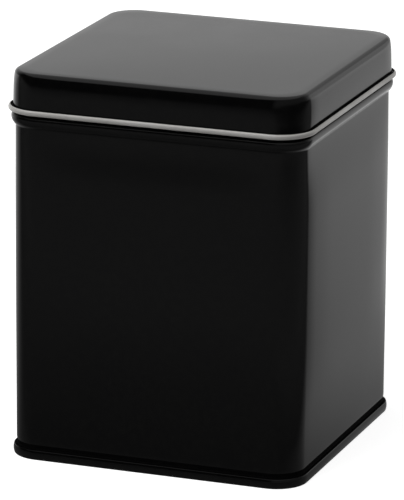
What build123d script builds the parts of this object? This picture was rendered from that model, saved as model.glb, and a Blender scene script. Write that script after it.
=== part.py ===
from build123d import *
from math import cos, radians, sin, tan
import os

# Square tea tin with a lift-off lid, pressed and rolled from thin tinplate.
# Millimetres, +Z up, origin on the floor under the middle of the tin, front towards -Y.

# Outside of the tin
side = 76.0
corner_radius = 7.5
overall_height = 99.0

# Tinplate
body_sheet = 0.23
lid_sheet = 0.23
base_sheet = 0.25

# Lid
lid_depth = 10.4
lid_play = 0.1
lid_draft = 1.6
lid_edge_radius = 1.25
lid_shoulder_slope = 8.0
lid_shoulder_radius = 30.0
lid_seat_gap = 0.1
curl_diameter = 1.45
curl_roll = 250.0

# Mouth of the body and the bead below the lid
mouth_curl_diameter = 1.8
mouth_curl_roll = 300.0
neck_lean = 1.2
bead_depth = 1.05
bead_gap = 0.15
bead_top_slope = 80.0
bead_top_radius = 0.55
bead_foot_slope = 47.0
bead_foot_radius = 0.7

# Double seam that joins the base to the body
seam_height = 2.8
seam_play = 0.03
seam_corner_radius = 0.12
seam_floor_gap = 0.05

# Panel of the base
base_recess = 3.2
base_edge_radius = 0.8
base_rim_land = 2.2
base_step = 0.6
base_step_slope = 60.0

# Lock seam up the back of the body
side_seam_width = 4.0
side_seam_play = 0.03
side_seam_jog_slope = 60.0
side_seam_end_gap = 0.3
side_seam_foot = 4.5
side_seam_head = 1.5

# Flats that stand for the round of each bend
curl_facets = 8
bead_facets = 2
edge_facets = 3
shoulder_facets = 1
fold_facets = 4
corner_facets = 2

half_side = side / 2
straight_run = side - 2 * corner_radius


def bent_strip(start, heading, moves, thickness):
    """A strip of sheet seen on edge. A move is a straight length, or a bend as (radius, angle,
    facets), both taken along the middle of the sheet, with left turns positive."""
    sides = []
    for offset_left in (thickness / 2, -thickness / 2):
        turn = radians(heading)
        point = Vector(*start) + Vector(-sin(turn), cos(turn)) * offset_left
        points = [point]
        for move in moves:
            radius, angle, facets = move if isinstance(move, tuple) else (0, 0, 1)
            side_radius = radius - offset_left if angle > 0 else radius + offset_left
            step = radians(angle) / facets
            length = 2 * side_radius * sin(abs(step) / 2) if angle else move
            for _ in range(facets):
                along = turn + step / 2
                point += Vector(cos(along), sin(along)) * length
                points.append(point)
                turn += step
        sides.append(points)
    with BuildSketch() as strip:
        with BuildLine():
            Polyline(*sides[0], *reversed(sides[1]), close=True)
        make_face()
    return strip.sketch


def around_the_tin(section):
    """Carries a section round the square. Its first coordinate is measured outwards
    from the body's outer face, its second is the height."""
    with BuildPart() as quarter:
        with BuildSketch(Plane((half_side, -straight_run / 2, 0), x_dir=(1, 0, 0), z_dir=(0, -1, 0))):
            add(section)
        extrude(amount=-straight_run)
        with BuildSketch(Plane((half_side, straight_run / 2, 0), x_dir=(1, 0, 0), z_dir=(0, -1, 0))):
            add(section)
        corner = Axis((half_side - corner_radius, straight_run / 2, 0), (0, 0, 1))
        revolve(axis=corner, revolution_arc=90)
    with BuildPart() as ring:
        with PolarLocations(0, 4):
            add(quarter.part)
    return ring.part


def middle_panel(inset, underside, thickness):
    """The flat middle of a pressed panel, whose edge lies inset from the body's outer face."""
    with BuildPart() as panel:
        with BuildSketch(Plane.XY.offset(underside)):
            RectangleRounded(side - 2 * inset, side - 2 * inset, corner_radius - inset)
        extrude(amount=thickness)
    return panel.part


def jog_radius(drop, slope):
    """Radius of the two equal bends that carry a sheet sideways by the drop at that slope."""
    return drop / 2 / (1 - cos(radians(slope)))


# Base, whose rim is folded twice round the foot of the body.
# From the inside outwards: chuck wall, body wall, base hook, body hook, outer wall.
hook_space = base_sheet + 2 * seam_play
chuck_wall_at = -(body_sheet + seam_play + base_sheet / 2)
base_hook_at = hook_space / 2
body_hook_at = hook_space + body_sheet / 2
outer_wall_at = hook_space + body_sheet + seam_play + base_sheet / 2
base_fold_radius = (outer_wall_at - base_hook_at) / 2
body_fold_radius = (hook_space + body_sheet) / 2
fold_top = seam_height - base_sheet / 2 - base_fold_radius
body_fold_at = base_sheet + seam_floor_gap + body_sheet / 2 + body_fold_radius

step_radius = jog_radius(base_step, base_step_slope)
step_run = 2 * step_radius * sin(radians(base_step_slope))
panel_inset = base_edge_radius + base_rim_land + step_run - chuck_wall_at
panel_middle = base_recess + base_sheet / 2
seam_bend = seam_corner_radius + base_sheet / 2

base_section = bent_strip(
    start=(-panel_inset, panel_middle - base_step),
    heading=0,
    moves=[
        (step_radius, base_step_slope, corner_facets),
        (step_radius, -base_step_slope, corner_facets),
        base_rim_land,
        (base_edge_radius, -90, edge_facets),
        panel_middle - base_edge_radius - base_sheet / 2 - seam_bend,
        (seam_bend, 90, corner_facets),
        outer_wall_at - chuck_wall_at - 2 * seam_bend,
        (seam_bend, 90, corner_facets),
        fold_top - base_sheet / 2 - seam_bend,
        (base_fold_radius, 180, fold_facets),
        fold_top - body_fold_at,
    ],
    thickness=base_sheet,
)
with BuildPart() as base:
    add(around_the_tin(base_section))
    add(middle_panel(panel_inset, base_recess - base_step, base_sheet))
base.part.label = "base"

# Body wall, from its hook in the base up to the curl round the mouth.
mouth_top = overall_height - lid_sheet - lid_seat_gap
lid_curl_bottom = overall_height - lid_depth
bead_top = lid_curl_bottom - bead_gap
bead_top_span = bead_depth / (1 - cos(radians(bead_top_slope)))
bead_foot_span = bead_depth / (1 - cos(radians(bead_foot_slope)))
bead_crest = bead_top - bead_top_span * sin(radians(bead_top_slope))
bead_foot = bead_crest - bead_foot_span * sin(radians(bead_foot_slope))
mouth_curl_radius = (mouth_curl_diameter - body_sheet) / 2
mouth_curl_centre = mouth_top - mouth_curl_diameter / 2
neck_length = (mouth_curl_centre - bead_top) / cos(radians(neck_lean))
neck_inset = (mouth_curl_centre - bead_top) * tan(radians(neck_lean))

body_section = bent_strip(
    start=(body_hook_at, fold_top),
    heading=-90,
    moves=[
        fold_top - body_fold_at,
        (body_fold_radius, -180, fold_facets),
        bead_foot - body_fold_at,
        (bead_foot_radius, -bead_foot_slope, bead_facets),
        (bead_foot_span - bead_foot_radius, bead_foot_slope, bead_facets),
        (bead_top_span - bead_top_radius, bead_top_slope, bead_facets),
        (bead_top_radius, neck_lean - bead_top_slope, bead_facets),
        neck_length,
        (mouth_curl_radius, mouth_curl_roll, curl_facets),
    ],
    thickness=body_sheet,
)

# Lock seam: each edge of the sheet is folded back and hooked into the other,
# and a jog in one edge keeps the outside flush.
layer_pitch = body_sheet + side_seam_play
seam_jog_radius = jog_radius(3 * layer_pitch, side_seam_jog_slope)
jog_start = side_seam_width / 2 + layer_pitch + body_sheet + side_seam_play
window_half = jog_start + 2 * seam_jog_radius * sin(radians(side_seam_jog_slope))
left_edge = bent_strip(
    start=(-window_half, 0),
    heading=0,
    moves=[
        window_half + side_seam_width / 2,
        (layer_pitch, -180, fold_facets),
        side_seam_width - side_seam_end_gap,
    ],
    thickness=body_sheet,
)
right_edge = bent_strip(
    start=(window_half, 0),
    heading=180,
    moves=[
        (seam_jog_radius, side_seam_jog_slope, corner_facets),
        (seam_jog_radius, -side_seam_jog_slope, corner_facets),
        jog_start + side_seam_width / 2,
        (layer_pitch, -180, fold_facets),
        side_seam_width - side_seam_end_gap,
    ],
    thickness=body_sheet,
)
seam_line = (0, half_side - body_sheet / 2)
side_seam_length = bead_foot - side_seam_head - side_seam_foot

with BuildPart() as body:
    add(around_the_tin(body_section))
    with BuildSketch(Plane.XY.offset(side_seam_foot)):
        with Locations(seam_line):
            Rectangle(2 * window_half, 2 * body_sheet)
    extrude(amount=side_seam_length, mode=Mode.SUBTRACT)
    with BuildSketch(Plane.XY.offset(side_seam_foot)):
        with Locations(seam_line):
            add(left_edge)
            add(right_edge)
    extrude(amount=side_seam_length)
body.part.label = "body"

# Lid, drawn from one sheet. Its skirt leans in below the rolled edge, clears the mouth, and its
# lower edge is rolled outwards into a curl that stays open at the top.
draft, shoulder = radians(lid_draft), radians(lid_shoulder_slope)
curl_radius = (curl_diameter - lid_sheet) / 2
curl_centre = lid_curl_bottom + curl_diameter / 2
lid_roll_radius = lid_edge_radius - lid_sheet / 2
lid_panel_middle = overall_height - lid_sheet / 2
lid_panel_inset = lid_roll_radius * cos(shoulder) + neck_inset - lid_play - lid_sheet / 2
roll_end = lid_panel_middle - lid_roll_radius * (1 - sin(shoulder))
shoulder_end = roll_end - lid_shoulder_radius * (sin(shoulder) - sin(draft))

lid_section = bent_strip(
    start=(-lid_panel_inset, lid_panel_middle),
    heading=0,
    moves=[
        (lid_roll_radius, lid_shoulder_slope - 90, edge_facets),
        (lid_shoulder_radius, lid_draft - lid_shoulder_slope, shoulder_facets),
        (shoulder_end - curl_centre + curl_radius * sin(draft)) / cos(draft),
        (curl_radius, curl_roll, curl_facets),
    ],
    thickness=lid_sheet,
)
with BuildPart() as lid:
    add(around_the_tin(lid_section))
    add(middle_panel(lid_panel_inset, overall_height - lid_sheet, lid_sheet))
lid.part.label = "lid"

os.makedirs("parts", exist_ok=True)
for piece in (base, body, lid):
    export_step(piece.part, f"parts/{piece.part.label}.step")
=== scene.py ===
import math

import bmesh
import bpy
from mathutils import Matrix, Vector


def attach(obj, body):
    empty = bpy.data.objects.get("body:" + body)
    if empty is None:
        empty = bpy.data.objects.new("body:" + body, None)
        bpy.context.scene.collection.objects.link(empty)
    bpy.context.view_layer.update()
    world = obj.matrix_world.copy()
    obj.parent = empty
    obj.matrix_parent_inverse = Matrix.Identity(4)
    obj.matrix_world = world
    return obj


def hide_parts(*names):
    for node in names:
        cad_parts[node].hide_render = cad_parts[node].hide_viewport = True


# Black square tea tin with a lift-off lid. Sizes are in millimetres unless a note says otherwise.

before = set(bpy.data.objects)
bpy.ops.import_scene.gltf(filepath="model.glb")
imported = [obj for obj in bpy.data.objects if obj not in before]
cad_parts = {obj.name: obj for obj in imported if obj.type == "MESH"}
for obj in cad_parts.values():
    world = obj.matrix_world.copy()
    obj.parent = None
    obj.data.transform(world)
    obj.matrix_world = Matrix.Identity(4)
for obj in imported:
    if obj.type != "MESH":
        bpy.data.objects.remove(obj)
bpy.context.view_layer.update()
mm = 0.001

# sizes that more than one piece needs
tin = {
    "side": 76.0,           # wall to wall, outside
    "cornerRadius": 7.5,
    "height": 99.0,         # with the lid on
    "bodySheet": 0.23,
    "lidSheet": 0.23,
    "lidDepth": 10.4,       # from the top of the lid to the bottom of its curl
    "lidCrown": 0.12,       # rise of the lid's middle
    "lidSeatGap": 0.1,      # between the rolled mouth and the underside of the lid
}
rounding = {
    "cornerSteps": 24,      # points round each corner
    "wallSteps": 22,        # points along each wall between the corners
    "bendStep": 9.0,        # degrees between the points of a bend
    "fewestSteps": 3,       # in a bend, however small
    "wallStep": 3.2,        # longest piece of a straight run up the wall
    "weld": 0.001,          # points nearer than this become one
    "sharpEdge": 38.0,      # degrees past which an edge stays crisp
}
straightHalf = tin["side"] / 2 - tin["cornerRadius"]      # half of a wall, up to where its corner starts


# node helpers

def addNode(tree, kind, inputs=None, **settings):
    node = tree.nodes.new(kind)
    for name, value in settings.items():
        setattr(node, name, value)
    for socket, value in (inputs or {}).items():
        if isinstance(value, bpy.types.Node):
            value = value.outputs[0]
        if isinstance(value, bpy.types.NodeSocket):
            tree.links.new(value, node.inputs[socket])
        else:
            node.inputs[socket].default_value = value
    return node


def math2(tree, operation, a, b=0.0):
    return addNode(tree, "ShaderNodeMath", {0: a, 1: b}, operation=operation)


def vector2(tree, operation, a, b=(0.0, 0.0, 0.0)):
    return addNode(tree, "ShaderNodeVectorMath", {0: a, 1: b}, operation=operation)


def ramp(tree, value, low, high, toLow=0.0, toHigh=1.0, kind="SMOOTHSTEP"):
    levels = {0: value, 1: low, 2: high, 3: toLow, 4: toHigh}
    return addNode(tree, "ShaderNodeMapRange", levels, interpolation_type=kind)


def mixLevel(tree, share, first, second):
    return addNode(tree, "ShaderNodeMix", {"Factor": share, 2: first, 3: second}, data_type="FLOAT")


def emptyTree(owner):
    # the node tree of a material or world, with nothing in it yet
    owner.use_nodes = True
    owner.node_tree.nodes.clear()
    return owner.node_tree


def startTree(name, sizes, counts=()):
    tree = bpy.data.node_groups.new(name, "GeometryNodeTree")
    inputs = [("Geometry", "Geometry"), *((size, "Float") for size in sizes)]
    inputs += [*((count, "Int") for count in counts), ("Finish", "Material")]
    for label, kind in inputs:
        tree.interface.new_socket(label, in_out="INPUT", socket_type="NodeSocket" + kind)
    tree.interface.new_socket("Geometry", in_out="OUTPUT", socket_type="NodeSocketGeometry")
    return tree, tree.nodes.new("NodeGroupInput").outputs


def endTree(tree, geometry, finish):
    plain = addNode(tree, "GeometryNodeRealizeInstances", {"Geometry": geometry})
    finished = addNode(tree, "GeometryNodeSetMaterial", {"Geometry": plain, "Material": finish})
    addNode(tree, "NodeGroupOutput", {"Geometry": finished})
    return tree


def runTree(mesh, tree, values):
    # the modifier's inputs are set before anything is evaluated, and its result is kept as a plain mesh
    holder = bpy.data.objects.new("holder", mesh)
    bpy.context.scene.collection.objects.link(holder)
    modifier = holder.modifiers.new("nodes", "NODES")
    modifier.node_group = tree
    for item in tree.interface.items_tree:
        if item.item_type == "SOCKET" and item.in_out == "INPUT" and item.name in values:
            modifier[item.identifier] = values[item.name]
    result = bpy.data.meshes.new_from_object(holder.evaluated_get(bpy.context.evaluated_depsgraph_get()))
    bpy.data.objects.remove(holder)
    return result


# sections of the sheets
# A section is a start, a heading in degrees and a list of moves along the middle of the sheet.
# A move is a straight length or a bend as (radius, angle), left turns positive.
# Across is measured outwards from the body's outer face, up from the floor.

def sheetLine(section, offset):
    # the line beside the middle of the sheet, offset to the left
    (across, up), turn = section["start"], math.radians(section["heading"])
    points = [(across - math.sin(turn) * offset, up + math.cos(turn) * offset)]
    for move in section["moves"]:
        if isinstance(move, tuple):
            radius, angle = move[0], math.radians(move[1])
            side = math.copysign(1.0, angle)
            middle = (across - side * radius * math.sin(turn), up + side * radius * math.cos(turn))
            steps = max(rounding["fewestSteps"], math.ceil(abs(move[1]) / rounding["bendStep"]))
            for i in range(1, steps + 1):
                now = turn + angle * i / steps
                across = middle[0] + side * radius * math.sin(now)
                up = middle[1] - side * radius * math.cos(now)
                points.append((across - math.sin(now) * offset, up + math.cos(now) * offset))
            turn += angle
        else:
            steps = max(1, math.ceil(move / rounding["wallStep"]))
            for i in range(steps):
                across += math.cos(turn) * move / steps
                up += math.sin(turn) * move / steps
                points.append((across - math.sin(turn) * offset, up + math.cos(turn) * offset))
    return points


def sheetHalf(section, outer, inner, panelRings=()):
    # closed outline of half the sheet's thickness, or an outline open at the middle of a panel
    there, back = sheetLine(section, outer), sheetLine(section, inner)[::-1]
    points = [(x, z, 0.0) for x, z in there + back]
    if panelRings:
        points = [(*there[0], share) for share in reversed(panelRings)] + points
        points += [(*back[-1], share) for share in panelRings]
    return points, not panelRings


def outlineMesh(points, closed):
    mesh = bpy.data.meshes.new("outline")
    edges = [(i, i + 1) for i in range(len(points) - 1)]
    if closed:
        edges.append((len(points) - 1, 0))
    mesh.from_pydata([(x * mm, -z * mm, 0.0) for x, z, share in points], edges, [])
    mesh.attributes.new("toMiddle", "FLOAT", "POINT").data.foreach_set("value", [p[2] for p in points])
    return mesh


def jogMoves(drop, run):
    # two equal bends that carry the sheet sideways by the drop over the run, a drop to the left being positive
    slope = 2 * math.atan(abs(drop) / run)
    radius = run / (2 * math.sin(slope))
    turn = math.copysign(math.degrees(slope), drop)
    return [(radius, turn), (radius, -turn)]


def jogRadius(drop, slope):
    # radius of such a pair of bends, where their slope is given instead of the run
    return drop / 2 / (1 - math.cos(math.radians(slope)))


# the sheet carried round the square

def buildSweepTree():
    tree, given = startTree("carryRoundTheTin", ("Side", "Corner Radius"), ("Corner Steps", "Wall Steps"))
    sides = {"Width": given["Side"], "Height": given["Side"]}
    square = addNode(tree, "GeometryNodeCurvePrimitiveQuadrilateral", sides)
    corners = {"Curve": square, "Radius": given["Corner Radius"], "Count": given["Corner Steps"]}
    rounded = addNode(tree, "GeometryNodeFilletCurve", corners, mode="POLY")

    # only the four long segments, the walls, are divided
    place = addNode(tree, "GeometryNodeInputPosition")
    number = addNode(tree, "GeometryNodeInputIndex")
    amount = addNode(tree, "GeometryNodeAttributeDomainSize", {0: rounded}, component="CURVE")
    after = addNode(tree, "FunctionNodeIntegerMath", {0: number, 1: 1}, operation="ADD")
    backToFirst = {0: after, 1: amount.outputs["Point Count"]}
    after = addNode(tree, "FunctionNodeIntegerMath", backToFirst, operation="MODULO")
    following = {"Value": place, "Index": after}
    nextPlace = addNode(tree, "GeometryNodeFieldAtIndex", following, data_type="FLOAT_VECTOR", domain="POINT")
    length = vector2(tree, "DISTANCE", place, nextPlace).outputs["Value"]
    against = {0: length, 1: given["Corner Radius"]}
    isWall = addNode(tree, "FunctionNodeCompare", against, operation="GREATER_THAN")
    choice = {"Switch": isWall, "False": 0, "True": given["Wall Steps"]}
    cuts = addNode(tree, "GeometryNodeSwitch", choice, input_type="INT")
    path = addNode(tree, "GeometryNodeSubdivideCurve", {"Curve": rounded, "Cuts": cuts})

    outline = addNode(tree, "GeometryNodeMeshToCurve", {"Mesh": given["Geometry"]})
    swept = addNode(tree, "GeometryNodeCurveToMesh", {"Curve": path, "Profile Curve": outline})

    # a panel's rings shrink towards the middle, where they close
    toMiddle = addNode(tree, "GeometryNodeInputNamedAttribute", {"Name": "toMiddle"}, data_type="FLOAT")
    keep = math2(tree, "SUBTRACT", 1.0, toMiddle)
    shrink = addNode(tree, "ShaderNodeCombineXYZ", {"X": keep, "Y": keep, "Z": 1.0})
    shrunk = vector2(tree, "MULTIPLY", place, shrink)
    moved = addNode(tree, "GeometryNodeSetPosition", {"Geometry": swept, "Position": shrunk})
    weld = {"Geometry": moved, "Distance": rounding["weld"] * mm}
    return endTree(tree, addNode(tree, "GeometryNodeMergeByDistance", weld), given["Finish"])


# what forming leaves in thin sheet: walls that bow out between the corners, and a faint unevenness
# A bow is whole up to its Full distance from the middle of a wall, and gone at Bow None.
# It grows over Foot Fade from Foot upwards, and dies away over Head Fade up to Head.

def buildFormingTree():
    tree, given = startTree("formedSheet", (
        "Straight Half", "Bow", "Bow Full", "Bow None", "Swell", "Swell Full", "Foot", "Foot Fade",
        "Head", "Head Fade", "Panel Half", "Panel Dish", "Unevenness", "Uneven Size", "Seed",
    ))
    place = addNode(tree, "GeometryNodeInputPosition")
    height = addNode(tree, "ShaderNodeSeparateXYZ", {0: place}).outputs["Z"]
    far = vector2(tree, "ABSOLUTE", place)
    farSplit = addNode(tree, "ShaderNodeSeparateXYZ", {0: far})

    # which way is out: straight on a wall, round the corner's own centre at a corner
    past = vector2(tree, "MAXIMUM", vector2(tree, "SUBTRACT", far, given["Straight Half"]))
    flatPast = vector2(tree, "MULTIPLY", past, (1.0, 1.0, 0.0))
    outward = vector2(tree, "NORMALIZE", vector2(tree, "MULTIPLY", flatPast, vector2(tree, "SIGN", place)))

    # two bows, one that reaches far along the wall and one that fades from nearer its middle
    alongWall = math2(tree, "MINIMUM", farSplit.outputs["X"], farSplit.outputs["Y"])
    bows = [
        ramp(tree, alongWall, given[full], given["Bow None"], given[most], 0.0, "SMOOTHERSTEP")
        for most, full in (("Bow", "Bow Full"), ("Swell", "Swell Full"))
    ]
    fromFoot = ramp(tree, height, given["Foot"], math2(tree, "ADD", given["Foot"], given["Foot Fade"]))
    headStart = math2(tree, "SUBTRACT", given["Head"], given["Head Fade"])
    free = math2(tree, "MULTIPLY", fromFoot, ramp(tree, height, headStart, given["Head"], 1.0, 0.0))

    # the noise lies round a half
    perMetre = math2(tree, "DIVIDE", 1.0, given["Uneven Size"])
    waves = {"Vector": place, "W": given["Seed"], "Scale": perMetre, "Detail": 1.0}
    ripple = addNode(tree, "ShaderNodeTexNoise", waves, noise_dimensions="4D")
    ripple = math2(tree, "MULTIPLY", math2(tree, "SUBTRACT", ripple, 0.5), given["Unevenness"])

    push = math2(tree, "MULTIPLY", math2(tree, "ADD", math2(tree, "ADD", *bows), ripple), free)
    pushed = addNode(tree, "ShaderNodeVectorMath", {0: outward, "Scale": push}, operation="SCALE")

    # the middle of a panel sinks by the dish, or rises where the dish is negative
    share = vector2(tree, "DIVIDE", place, given["Panel Half"])
    room = vector2(tree, "SUBTRACT", (1.0, 1.0, 1.0), vector2(tree, "MULTIPLY", share, share))
    roomSplit = addNode(tree, "ShaderNodeSeparateXYZ", {0: vector2(tree, "MAXIMUM", room)})
    inPanel = math2(tree, "MULTIPLY", roomSplit.outputs["X"], roomSplit.outputs["Y"])
    sink = math2(tree, "MULTIPLY", math2(tree, "SUBTRACT", ripple, given["Panel Dish"]), inPanel)
    offset = vector2(tree, "ADD", pushed, addNode(tree, "ShaderNodeCombineXYZ", {"Z": sink}))
    moved = addNode(tree, "GeometryNodeSetPosition", {"Geometry": given["Geometry"], "Offset": offset})
    return endTree(tree, moved, given["Finish"])


sweepTree, formingTree = buildSweepTree(), buildFormingTree()
print("node trees ready")


def sweepSheet(points, closed, finish):
    return runTree(outlineMesh(points, closed), sweepTree, {
        "Side": tin["side"] * mm, "Corner Radius": tin["cornerRadius"] * mm,
        "Corner Steps": rounding["cornerSteps"], "Wall Steps": rounding["wallSteps"], "Finish": finish,
    })


def formSheet(mesh, forming, finish):
    values = {name: value * mm for name, value in forming.items() if name != "Seed"}
    values["Straight Half"] = straightHalf * mm
    return runTree(mesh, formingTree, {**values, "Seed": forming["Seed"], "Finish": finish})


def turnOutwards(work):
    if work.calc_volume(signed=True) < 0:
        bmesh.ops.reverse_faces(work, faces=work.faces)


def finishPiece(mesh, name, body, node):
    # faces turned outwards and shading made smooth except at real edges
    work = bmesh.new()
    work.from_mesh(mesh)
    turnOutwards(work)
    for face in work.faces:
        face.smooth = True
    work.to_mesh(mesh)
    work.free()
    mesh.set_sharp_from_angle(angle=math.radians(rounding["sharpEdge"]))
    mesh.name = name
    piece = bpy.data.objects.new(name, mesh)
    bpy.context.scene.collection.objects.link(piece)
    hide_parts(node)
    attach(piece, body)
    print(name, "has", len(mesh.polygons), "faces")


# finishes
# A range gives the noise levels between which the first colour or roughness turns into the second.

lacquer = {
    "colour": (0.0010, 0.0010, 0.0011),
    "worn": (0.0018, 0.0018, 0.0017),
    "toneRange": (0.35, 0.75),
    "roughness": (0.10, 0.16),
    "roughRange": (0.35, 0.65),
    "broadSize": 22.0,          # patches of slightly different gloss
    "broadShare": 0.7,
    "fineSize": 1.6,
    "peelSize": 0.9,            # orange peel
    "peelDepth": 0.0012,
}
# painted shade in the groove above the base's seam: rough lacquer with its gloss taken away, so that the groove
# reads dark
groove = {
    "dust": (0.0022, 0.0021, 0.0019),
    "dustSize": 0.7,
    "toneRange": (0.45, 0.75),
    "roughness": (0.6, 0.8),
    "roughRange": (0.3, 0.7),
    "specular": 0.04,
    "below": 0.5,               # how far it reaches below the top of the base's seam
    "onBase": (0.1, 0.58),      # how far above that top, and how far out from the wall's outer face
    "onBody": (1.2, 0.25),
    "inwards": 0.3,             # how far in from that face
}
tinplate = {
    "colour": (0.61, 0.60, 0.58),
    "dull": (0.53, 0.52, 0.50),
    "toneRange": (0.3, 0.7),
    "metallic": 0.6,
    "roughness": (0.32, 0.42),
    "roughRange": (0.3, 0.7),
    "cloudSize": 9.0,
    "grainWidth": 0.08,
    "grainLength": 6.0,
    "grainShare": 0.5,
    "grainDepth": 0.0003,
}


def newMaterial(name):
    material = bpy.data.materials.new(name)
    tree = emptyTree(material)
    shader = addNode(tree, "ShaderNodeBsdfPrincipled")
    addNode(tree, "ShaderNodeOutputMaterial", {"Surface": shader})
    return material, tree, shader, addNode(tree, "ShaderNodeTexCoord").outputs["Object"]


def noiseAt(tree, place, size, detail=2.0, scaleBy=(1.0, 1.0, 1.0)):
    mapped = addNode(tree, "ShaderNodeMapping", {"Vector": place, "Scale": scaleBy})
    return addNode(tree, "ShaderNodeTexNoise", {"Vector": mapped, "Scale": 1.0 / (size * mm), "Detail": detail})


def mixNoise(tree, first, second, share):
    first, second = math2(tree, "MULTIPLY", first, share), math2(tree, "MULTIPLY", second, 1.0 - share)
    return math2(tree, "ADD", first, second)


def setTone(tree, shader, noise, levels, first, second):
    mix = addNode(tree, "ShaderNodeMix", {"Factor": ramp(tree, noise, *levels)}, data_type="RGBA")
    for socket, colour in (("A", first), ("B", second)):
        [s for s in mix.inputs if s.name == socket and s.type == "RGBA"][0].default_value = (*colour, 1.0)
    tree.links.new([s for s in mix.outputs if s.type == "RGBA"][0], shader.inputs["Base Color"])


def setRoughness(tree, shader, noise, finish):
    rough = ramp(tree, noise, *finish["roughRange"], *finish["roughness"])
    tree.links.new(rough.outputs[0], shader.inputs["Roughness"])


def setRelief(tree, shader, noise, depth):
    bump = addNode(tree, "ShaderNodeBump", {"Height": noise, "Strength": 1.0, "Distance": depth * mm})
    tree.links.new(bump.outputs[0], shader.inputs["Normal"])


def makeLacquer():
    material, tree, shader, place = newMaterial("blackLacquer")
    broad = noiseAt(tree, place, lacquer["broadSize"])
    fine = noiseAt(tree, place, lacquer["fineSize"], 3.0)
    setTone(tree, shader, fine, lacquer["toneRange"], lacquer["colour"], lacquer["worn"])
    setRoughness(tree, shader, mixNoise(tree, broad, fine, lacquer["broadShare"]), lacquer)
    setRelief(tree, shader, noiseAt(tree, place, lacquer["peelSize"], 1.0), lacquer["peelDepth"])
    return material


def makePaintedShadeLacquer():
    # painted shade: almost no gloss in the narrow groove above the base's seam, so that it stays dark as shade
    # would make it, with a faint lighter dusty mottle
    material, tree, shader, place = newMaterial("paintedShadeInGroove")
    dust = noiseAt(tree, place, groove["dustSize"], 3.0)
    setTone(tree, shader, dust, groove["toneRange"], lacquer["colour"], groove["dust"])
    setRoughness(tree, shader, dust, groove)
    # painted shade: the gloss is taken away so that the groove looks dark under any light
    shader.inputs["Specular IOR Level"].default_value = groove["specular"]
    return material


def makeTinplate():
    material, tree, shader, place = newMaterial("bareTinplate")
    stretch = tinplate["grainWidth"] / tinplate["grainLength"]
    grain = noiseAt(tree, place, tinplate["grainWidth"], 2.0, (stretch, 1.0, 1.0))
    cloud = noiseAt(tree, place, tinplate["cloudSize"], 3.0)
    setTone(tree, shader, cloud, tinplate["toneRange"], tinplate["colour"], tinplate["dull"])
    setRoughness(tree, shader, mixNoise(tree, grain, cloud, tinplate["grainShare"]), tinplate)
    setRelief(tree, shader, grain, tinplate["grainDepth"])
    shader.inputs["Metallic"].default_value = tinplate["metallic"]
    return material


blackLacquer, paintedShadeLacquer, bareTinplate = makeLacquer(), makePaintedShadeLacquer(), makeTinplate()
print("finishes ready")


def paintShadeIntoGroove(mesh, above, outermost):
    # the faces that take the painted shade: those beside the wall, from a little below the top of the base's
    # seam to a little above it
    mesh.materials.append(paintedShadeLacquer)
    for face in mesh.polygons:
        x, y, z = face.center / mm
        past = math.hypot(max(abs(x) - straightHalf, 0.0), max(abs(y) - straightHalf, 0.0))
        across = past - tin["cornerRadius"]
        if -groove["below"] < z - base["seamHeight"] < above and -groove["inwards"] < across < outermost:
            face.material_index = 1


# base: a stepped panel whose rim is folded twice round the body's foot

base = {
    "sheet": 0.25,
    "seamHeight": 2.55,
    "seamPlay": 0.03,
    "seamBulge": 18.0,      # degrees that the seam's outer wall leans in at its foot and at its top
    "seamCornerRadius": 0.12,
    "seamFloorGap": 0.05,
    "recess": 3.2,
    "edgeRadius": 0.8,
    "rimLand": 2.2,
    "step": 0.6,
    "stepSlope": 60.0,
    "panelRings": (0.15, 0.32, 0.5, 0.68, 0.85, 1.0),      # shares of the way to the middle
    "forming": {
        "Bow": 0.0, "Bow Full": 16.0, "Bow None": 36.0, "Swell": 0.0, "Swell Full": 26.0,
        "Foot": 0.0, "Foot Fade": 1.0, "Head": 1.0, "Head Fade": 1.0,
        "Panel Half": 33.0, "Panel Dish": -0.12, "Unevenness": 0.06, "Uneven Size": 26.0, "Seed": 3.0,
    },
}

# the seam's layers from the inside outwards: chuck wall, body wall, base hook, body hook, outer wall
hookSpace = base["sheet"] + 2 * base["seamPlay"]
chuckWallAt = -(tin["bodySheet"] + base["seamPlay"] + base["sheet"] / 2)
baseHookAt = hookSpace / 2
bodyHookAt = hookSpace + tin["bodySheet"] / 2
outerWallAt = hookSpace + tin["bodySheet"] + base["seamPlay"] + base["sheet"] / 2
bodyFoldRadius = (hookSpace + tin["bodySheet"]) / 2
seamBend = base["seamCornerRadius"] + base["sheet"] / 2

# the outer wall is one long arc, and its foot and its top lie further in by bulgeOut
bulge = math.radians(base["seamBulge"])
bulgeHeight = base["seamHeight"] - base["sheet"] - seamBend - (outerWallAt - baseHookAt) / 2
bulgeOut = bulgeHeight / (2 * math.sin(bulge)) * (1 - math.cos(bulge))
foldRadius = (outerWallAt - bulgeOut - baseHookAt) / (1 + math.cos(bulge))
foldTop = base["seamHeight"] - base["sheet"] / 2 - foldRadius
outerWallRise = foldTop + foldRadius * math.sin(bulge) - base["sheet"] / 2 - seamBend * (1 - math.sin(bulge))
bodyFoldAt = base["sheet"] + base["seamFloorGap"] + tin["bodySheet"] / 2 + bodyFoldRadius

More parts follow.
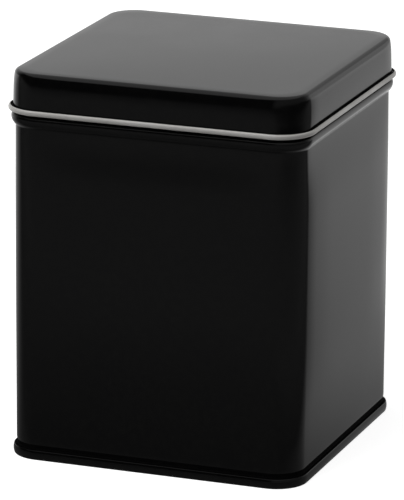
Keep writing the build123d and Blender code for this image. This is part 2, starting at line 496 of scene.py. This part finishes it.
stepRadius = jogRadius(base["step"], base["stepSlope"])
stepRun = 2 * stepRadius * math.sin(math.radians(base["stepSlope"]))
panelInset = base["edgeRadius"] + base["rimLand"] + stepRun - chuckWallAt
panelMiddle = base["recess"] + base["sheet"] / 2
baseSection = {
    "start": (-panelInset, panelMiddle - base["step"]),
    "heading": 0,
    "moves": [
        (stepRadius, base["stepSlope"]),
        (stepRadius, -base["stepSlope"]),
        base["rimLand"],
        (base["edgeRadius"], -90),
        panelMiddle - base["edgeRadius"] - base["sheet"] / 2 - seamBend,
        (seamBend, 90),
        outerWallAt - bulgeOut - chuckWallAt - seamBend * (1 + math.cos(bulge)),
        (seamBend, 90 - base["seamBulge"]),
        (outerWallRise / (2 * math.sin(bulge)), 2 * base["seamBulge"]),
        (foldRadius, 180 - base["seamBulge"]),
        foldTop - bodyFoldAt,
    ],
}
for name, outer, inner, finish, slot in (
    ("base_outside", -base["sheet"] / 2, 0.0, blackLacquer, "black_lacquer"),
    ("base_inside", 0.0, base["sheet"] / 2, bareTinplate, "bare_tinplate"),
):
    points, closed = sheetHalf(baseSection, outer, inner, base["panelRings"])
    mesh = formSheet(sweepSheet(points, closed, finish), base["forming"], finish)
    if finish == blackLacquer:
        # painted shade in the groove on top of the base's seam
        paintShadeIntoGroove(mesh, *groove["onBase"])
    finishPiece(mesh, name, "tin", "base")


# body: one sheet round the tin, joined up the back by a lock seam

body = {
    "mouthCurl": 1.8,
    "mouthRoll": 300.0,
    "beadDepth": 1.05,
    "beadGap": 0.15,
    "beadTopTurn": 80.0,    # steep above, where the lid's curl comes down on it
    "beadTopRadius": 0.55,
    "beadFootTurn": 47.0,   # and a long round slope below
    "beadFootRadius": 0.7,
    "neckLean": 1.2,        # degrees that the mouth leans in above the bead
    "tuckStart": 2.45,      # where the seaming roll has pressed the wall in, just above the base's seam
    "tuckDepth": 0.14,
    "tuckIn": 0.45,
    "tuckOut": 1.8,
    "forming": {
        "Bow": 0.25, "Bow Full": 14.0, "Bow None": 35.8, "Swell": 0.45, "Swell Full": 26.0,
        "Foot": 3.0, "Foot Fade": 34.0, "Head": 84.5, "Head Fade": 15.0,
        "Panel Half": 10.0, "Panel Dish": 0.0, "Unevenness": 0.03, "Uneven Size": 30.0, "Seed": 7.0,
    },
}
mouthTop = tin["height"] - tin["lidCrown"] - tin["lidSheet"] - tin["lidSeatGap"]
lidCurlBottom = tin["height"] - tin["lidDepth"]
beadTop = lidCurlBottom - body["beadGap"]
topTurn, footTurn = body["beadTopTurn"], body["beadFootTurn"]
topSpan = body["beadDepth"] / (1 - math.cos(math.radians(topTurn)))
footSpan = body["beadDepth"] / (1 - math.cos(math.radians(footTurn)))
beadFoot = beadTop - topSpan * math.sin(math.radians(topTurn)) - footSpan * math.sin(math.radians(footTurn))
mouthCurlRadius = (body["mouthCurl"] - tin["bodySheet"]) / 2
mouthCurlCentre = mouthTop - body["mouthCurl"] / 2
neckLean = math.radians(body["neckLean"])
neckInset = (mouthCurlCentre - beadTop) * math.tan(neckLean)
bodySection = {
    "start": (bodyHookAt, foldTop),
    "heading": -90,
    "moves": [
        foldTop - bodyFoldAt,
        (bodyFoldRadius, -180),
        body["tuckStart"] - bodyFoldAt,
        *jogMoves(body["tuckDepth"], body["tuckIn"]),
        *jogMoves(-body["tuckDepth"], body["tuckOut"]),
        beadFoot - body["tuckStart"] - body["tuckIn"] - body["tuckOut"],
        (body["beadFootRadius"], -footTurn),
        (footSpan - body["beadFootRadius"], footTurn),
        (topSpan - body["beadTopRadius"], topTurn),
        (body["beadTopRadius"], body["neckLean"] - topTurn),
        (mouthCurlCentre - beadTop) / math.cos(neckLean),
        (mouthCurlRadius, body["mouthRoll"]),
    ],
}

# each edge of the sheet is folded back and hooked into the other, and a jog in one keeps the outside flush
sideSeam = {
    "width": 4.0,
    "play": 0.03,
    "jogSlope": 60.0,
    "endGap": 0.3,
    "foot": 4.5,
    "head": 1.5,
    "window": 1.38,         # thickness of the block that cuts the wall away for it
    "lap": 0.9,             # length over which the seam's ends are pressed down into the wall
    "lapWhole": 0.05,       # length at its start that stays as thick as the layers
    "lapOver": 0.02,        # how far it reaches back over them
    "lapBuried": 0.05,      # how far in from the middle of the sheet it begins
    "lapEdge": 0.09,        # thickness of its thin end
}
layerPitch = tin["bodySheet"] + sideSeam["play"]
deepest = 3 * layerPitch    # the innermost of the four layers
seamJogRadius = jogRadius(deepest, sideSeam["jogSlope"])
jogStart = sideSeam["width"] / 2 + layerPitch + tin["bodySheet"] + sideSeam["play"]
windowHalf = jogStart + 2 * seamJogRadius * math.sin(math.radians(sideSeam["jogSlope"]))
sideSeamLength = beadFoot - sideSeam["head"] - sideSeam["foot"]
wallMiddle = tin["side"] / 2 - tin["bodySheet"] / 2
hook = [(layerPitch, -180), sideSeam["width"] - sideSeam["endGap"]]
leftEdge = {
    "start": (-windowHalf, 0.0),
    "heading": 0,
    "moves": [windowHalf + sideSeam["width"] / 2, *hook],
}
rightEdge = {
    "start": (windowHalf, 0.0),
    "heading": 180,
    "moves": [
        (seamJogRadius, sideSeam["jogSlope"]), (seamJogRadius, -sideSeam["jogSlope"]),
        jogStart + sideSeam["width"] / 2, *hook,
    ],
}


def cutWindow(mesh):
    # takes the wall out where the seam's folded edges go
    box = bmesh.new()
    size = Vector((2 * windowHalf, sideSeam["window"], sideSeamLength)) * mm
    middle = Vector((0.0, wallMiddle, sideSeam["foot"] + sideSeamLength / 2)) * mm
    bmesh.ops.create_cube(box, size=1.0, matrix=Matrix.Translation(middle) @ Matrix.Diagonal((*size, 1.0)))
    boxMesh = bpy.data.meshes.new("window")
    box.to_mesh(boxMesh)
    box.free()
    cutter, wall = bpy.data.objects.new("window", boxMesh), bpy.data.objects.new("wall", mesh)
    for item in (cutter, wall):
        bpy.context.scene.collection.objects.link(item)
    cut = wall.modifiers.new("window", "BOOLEAN")
    cut.operation, cut.object, cut.solver = "DIFFERENCE", cutter, "EXACT"
    result = bpy.data.meshes.new_from_object(wall.evaluated_get(bpy.context.evaluated_depsgraph_get()))
    for item in (wall, cutter):
        bpy.data.objects.remove(item)
    return result


def skinBetween(work, levels):
    # a closed skin through outlines at several heights, their y taken from the middle of the back wall
    rows = []
    for height, outline in levels:
        rows.append([work.verts.new(Vector((x, wallMiddle + y, height)) * mm) for x, y in outline])
    faces = [work.faces.new(rows[0]), work.faces.new(rows[-1])]
    for low, high in zip(rows, rows[1:]):
        for i in range(len(low)):
            j = (i + 1) % len(low)
            faces.append(work.faces.new((low[i], low[j], high[j], high[i])))
    bmesh.ops.recalc_face_normals(work, faces=faces)


def addStrip(work, section, outer, inner):
    # a folded edge of the sheet, standing in the window
    outline = sheetLine(section, outer) + sheetLine(section, inner)[::-1]
    steps = math.ceil(sideSeamLength / rounding["wallStep"])
    skinBetween(work, [(sideSeam["foot"] + sideSeamLength * i / steps, outline) for i in range(steps + 1)])


def addLap(work, height, away):
    # closes an end of the seam, where its layers are pressed down into the wall
    # away is 1 at the upper end, -1 at the lower one
    left, right = -sideSeam["width"] / 2 - layerPitch - tin["bodySheet"] / 2, jogStart
    start = -sideSeam["lapBuried"]
    atLayers, atWall = (
        [(left, start), (left, depth), (right, depth), (windowHalf, start)]
        for depth in (-deepest - tin["bodySheet"] / 2, start - sideSeam["lapEdge"])
    )
    skinBetween(work, [
        (height - sideSeam["lapOver"] * away, atLayers),
        (height + sideSeam["lapWhole"] * away, atLayers),
        (height + sideSeam["lap"] * away, atWall),
    ])


for name, outer, inner, finish, slot in (
    ("body_outside", -tin["bodySheet"] / 2, 0.0, blackLacquer, "black_lacquer"),
    ("body_inside", 0.0, tin["bodySheet"] / 2, bareTinplate, "bare_tinplate"),
):
    points, closed = sheetHalf(bodySection, outer, inner)
    mesh = cutWindow(sweepSheet(points, closed, finish))
    work = bmesh.new()
    work.from_mesh(mesh)
    turnOutwards(work)
    addStrip(work, leftEdge, -outer, -inner)
    addStrip(work, rightEdge, outer, inner)
    if finish == bareTinplate:
        addLap(work, sideSeam["foot"] + sideSeamLength, 1)
        addLap(work, sideSeam["foot"], -1)
    work.to_mesh(mesh)
    work.free()
    mesh = formSheet(mesh, body["forming"], finish)
    if finish == blackLacquer:
        # painted shade in the groove on the wall just above the base's seam
        paintShadeIntoGroove(mesh, *groove["onBody"])
    finishPiece(mesh, name, "tin", "body")


# lid: one drawn sheet, its lower edge rolled outwards so that the bare side shows

lid = {
    "play": 0.1,            # between the skirt and the mouth
    "draft": 1.6,           # degrees that the skirt flares
    "shoulder": 8.0,        # degrees that it leans just below the rolled edge
    "shoulderRadius": 30.0,
    "edgeRadius": 1.12,
    "curl": 1.43,
    "curlRoll": 250.0,      # left open at the top, so that a dark gap shows behind it
    "panelRings": (0.06, 0.14, 0.24, 0.36, 0.5, 0.66, 0.83, 1.0),
    "forming": {
        "Bow": 0.0, "Bow Full": 17.0, "Bow None": 35.8, "Swell": 0.35, "Swell Full": 26.5,
        "Foot": 89.6, "Foot Fade": 2.2, "Head": 98.6, "Head Fade": 1.5, "Panel Half": 36.5,
        "Panel Dish": -tin["lidCrown"], "Unevenness": 0.03, "Uneven Size": 30.0, "Seed": 11.0,
    },
}
draft, shoulder = math.radians(lid["draft"]), math.radians(lid["shoulder"])
curlRadius = (lid["curl"] - tin["lidSheet"]) / 2
curlCentre = lidCurlBottom + lid["curl"] / 2
rollRadius = lid["edgeRadius"] - tin["lidSheet"] / 2
panelTop = tin["height"] - tin["lidCrown"] - tin["lidSheet"] / 2
rollEnd = panelTop - rollRadius * (1 - math.sin(shoulder))
shoulderDrop = lid["shoulderRadius"] * (math.sin(shoulder) - math.sin(draft))
skirtDrop = rollEnd - shoulderDrop - curlCentre + curlRadius * math.sin(draft)
lidPanelInset = rollRadius * math.cos(shoulder) + neckInset - lid["play"] - tin["lidSheet"] / 2
lidSection = {
    "start": (-lidPanelInset, panelTop),
    "heading": 0,
    "moves": [
        (rollRadius, lid["shoulder"] - 90),
        (lid["shoulderRadius"], lid["draft"] - lid["shoulder"]),
        skirtDrop / math.cos(draft),
        (curlRadius, lid["curlRoll"]),
    ],
}
for name, outer, inner, finish, slot in (
    ("lid_outside", tin["lidSheet"] / 2, 0.0, blackLacquer, "black_lacquer"),
    ("lid_inside", 0.0, -tin["lidSheet"] / 2, bareTinplate, "bare_tinplate"),
):
    points, closed = sheetHalf(lidSection, outer, inner, lid["panelRings"])
    mesh = formSheet(sweepSheet(points, closed, finish), lid["forming"], finish)
    finishPiece(mesh, name, "lid", "lid")
print("the tin's three sheets are made")


# floor, room and light, with places in metres and directions as unit vectors

studio = {
    "floorSize": 6.0,
    "floorPale": (0.55, 0.55, 0.55),
    "floorGlow": 0.82,
    "keySize": 1.6,
    "keyPlace": (-0.75, -0.85, 1.15),
    "keyPower": 24.0,       # watts
    "roomForDiffuse": 0.45,
}
# how bright the floor and the room look in the tin's gloss
reflected = {
    # the floor as the gloss sees it is a painted reflection: painted shadow darkens it close round the tin's
    # foot and towards the right, and painted light brightens it behind the tin
    "floor": (              # by distance behind the tin
        (-0.90, 0.02), (-0.42, 0.13), (-0.18, 0.13), (-0.05, 0.065), (0.0, 0.21), (0.033, 0.31),
        (0.064, 0.39), (0.092, 0.44), (0.12, 0.49), (0.153, 0.53), (0.18, 0.56), (0.22, 0.60), (0.48, 0.80),
    ),
    # painted shadow on the right of the tin
    "floorShadowToRight": (0.06, 1.6),          # how far to the right it starts to look darker, and how fast
    "brighter": 1.4,                        # where the tin itself stands in front of it
    "brighterAcross": (0.05, 0.085),        # whole up to here on the right, and where it ends
    "brighterBehind": (0.10, 0.17),         # where it starts behind the tin, and is whole
    "sky": (                # by the upward part of the direction
        (0.0, 0.62), (0.06, 0.66), (0.13, 0.64), (0.20, 0.76), (0.222, 0.66),
        (0.24, 0.515), (0.26, 0.46), (0.32, 0.46), (0.42, 0.46), (1.0, 0.5),
    ),
    "skyLean": (-0.40, -0.22, 1.14, 0.92),  # brighter on the left
    "skyTowards": (-0.26, 0.966, 0.0),      # behind the tin, as the camera sees it
    "skySpread": (0.1, 0.86),
    "front": (-0.15, 0.25, 0.006, 0.13),    # dark in front on the left, a little brighter to the right
    "above": 0.55,
    "aboveFrom": (0.65, 0.79),
}


def seenRays(tree):
    # the light path, and 1 for rays from a reflection or glass
    path = addNode(tree, "ShaderNodeLightPath")
    gloss = math2(tree, "MAXIMUM", path.outputs["Is Glossy Ray"], path.outputs["Is Transmission Ray"])
    return path, gloss


def greyRamp(tree, value, stops):
    low, high = stops[0][0], stops[-1][0]
    node = addNode(tree, "ShaderNodeValToRGB", {"Fac": ramp(tree, value, low, high, kind="LINEAR")})
    while len(node.color_ramp.elements) < len(stops):
        node.color_ramp.elements.new(0.5)
    for element, (at, level) in zip(node.color_ramp.elements, stops):
        element.position = (at - low) / (high - low)
        element.color = (level, level, level, 1.0)
    return node


def makeFloorMaterial():
    material = bpy.data.materials.new("paleFloor")
    tree = emptyTree(material)
    path, gloss = seenRays(tree)
    place = addNode(tree, "ShaderNodeSeparateXYZ", {0: addNode(tree, "ShaderNodeTexCoord").outputs["Object"]})
    darkFrom, darkRate = reflected["floorShadowToRight"]
    toRight = math2(tree, "MAXIMUM", math2(tree, "SUBTRACT", place.outputs["X"], darkFrom), 0.0)
    along = math2(tree, "SUBTRACT", place.outputs["Y"], math2(tree, "MULTIPLY", toRight, darkRate))
    # painted reflection of the floor, with painted shadow near the tin's foot and to its right, and painted
    # light behind the tin
    shine = greyRamp(tree, along, reflected["floor"])
    hidden = ramp(tree, place.outputs["X"], *reflected["brighterAcross"], 1.0, 0.0)
    extra = ramp(tree, place.outputs["Y"], *reflected["brighterBehind"], 0.0, reflected["brighter"] - 1.0)
    boost = math2(tree, "ADD", math2(tree, "MULTIPLY", hidden, extra), 1.0)
    cloth = addNode(tree, "ShaderNodeBsdfDiffuse", {"Color": (*studio["floorPale"], 1.0)})
    glow = addNode(tree, "ShaderNodeEmission", {"Strength": studio["floorGlow"]})
    toCamera = addNode(tree, "ShaderNodeAddShader", {0: cloth, 1: glow})
    toGloss = addNode(tree, "ShaderNodeEmission", {"Color": shine, "Strength": boost})
    first = addNode(tree, "ShaderNodeMixShader", {0: path.outputs["Is Camera Ray"], 1: cloth, 2: toCamera})
    second = addNode(tree, "ShaderNodeMixShader", {0: gloss, 1: first, 2: toGloss})
    addNode(tree, "ShaderNodeOutputMaterial", {"Surface": second})
    return material


def makeRoom():
    world = bpy.data.worlds.new("room")
    tree = emptyTree(world)
    path, gloss = seenRays(tree)
    direction = addNode(tree, "ShaderNodeTexCoord").outputs["Generated"]
    split = addNode(tree, "ShaderNodeSeparateXYZ", {0: direction})
    behind = vector2(tree, "DOT_PRODUCT", direction, reflected["skyTowards"]).outputs["Value"]
    lean = ramp(tree, split.outputs["X"], *reflected["skyLean"], kind="LINEAR")
    sky = math2(tree, "MULTIPLY", greyRamp(tree, split.outputs["Z"], reflected["sky"]), lean)
    front = ramp(tree, split.outputs["X"], *reflected["front"])
    around = mixLevel(tree, ramp(tree, behind, *reflected["skySpread"]), front, sky)
    room = mixLevel(tree, ramp(tree, split.outputs["Z"], *reflected["aboveFrom"]), around, reflected["above"])
    lit = mixLevel(tree, gloss, studio["roomForDiffuse"], room)
    shown = mixLevel(tree, path.outputs["Is Camera Ray"], lit, 1.0)
    light = addNode(tree, "ShaderNodeBackground", {"Color": (1.0, 1.0, 1.0, 1.0), "Strength": shown})
    addNode(tree, "ShaderNodeOutputWorld", {"Surface": light})
    return world


reach = studio["floorSize"] / 2
floorCorners = [(-reach, -reach, 0), (reach, -reach, 0), (reach, reach, 0), (-reach, reach, 0)]
floorMesh = bpy.data.meshes.new("floor")
floorMesh.from_pydata(floorCorners, [], [(0, 1, 2, 3)])
floorMesh.materials.append(makeFloorMaterial())
floor = bpy.data.objects.new("floor", floorMesh)
bpy.context.scene.collection.objects.link(floor)
bpy.context.scene.world = makeRoom()

key = bpy.data.lights.new("key", "AREA")
key.shape, key.size, key.energy = "SQUARE", studio["keySize"], studio["keyPower"]
keyObject = bpy.data.objects.new("key", key)
keyObject.visible_glossy = False
keyObject.location = studio["keyPlace"]
keyObject.rotation_euler = Vector(studio["keyPlace"]).to_track_quat("Z", "Y").to_euler()
bpy.context.scene.collection.objects.link(keyObject)
print("floor, room and light ready")


# camera at the photograph's view

photoView = {
    "azimuth": 20.17, "elevation": 15.89, "roll": 0.39,      # degrees
    "distance": 1211.4, "right": 0.19, "up": -45.70,         # of the tin's foot from the middle of the view
    "lens": 228.2, "sensor": 24.0,
}
azimuth, elevation, roll = (math.radians(photoView[k]) for k in ("azimuth", "elevation", "roll"))
forward = Vector((
    -math.sin(azimuth) * math.cos(elevation), math.cos(azimuth) * math.cos(elevation), -math.sin(elevation),
))
level = Vector((math.cos(azimuth), math.sin(azimuth), 0.0))
upright = level.cross(forward)
right = level * math.cos(roll) + upright * math.sin(roll)
up = upright * math.cos(roll) - level * math.sin(roll)
camera = bpy.data.cameras.new("camera")
camera.sensor_fit, camera.sensor_height, camera.lens = "VERTICAL", photoView["sensor"], photoView["lens"]
cameraObject = bpy.data.objects.new("camera", camera)
place = -(right * photoView["right"] + up * photoView["up"] + forward * photoView["distance"]) * mm
cameraObject.matrix_world = Matrix.Translation(place) @ Matrix((right, up, -forward)).transposed().to_4x4()
bpy.context.scene.collection.objects.link(cameraObject)
bpy.context.scene.camera = cameraObject
bpy.context.scene.view_settings.view_transform = "Standard"
print("camera ready")
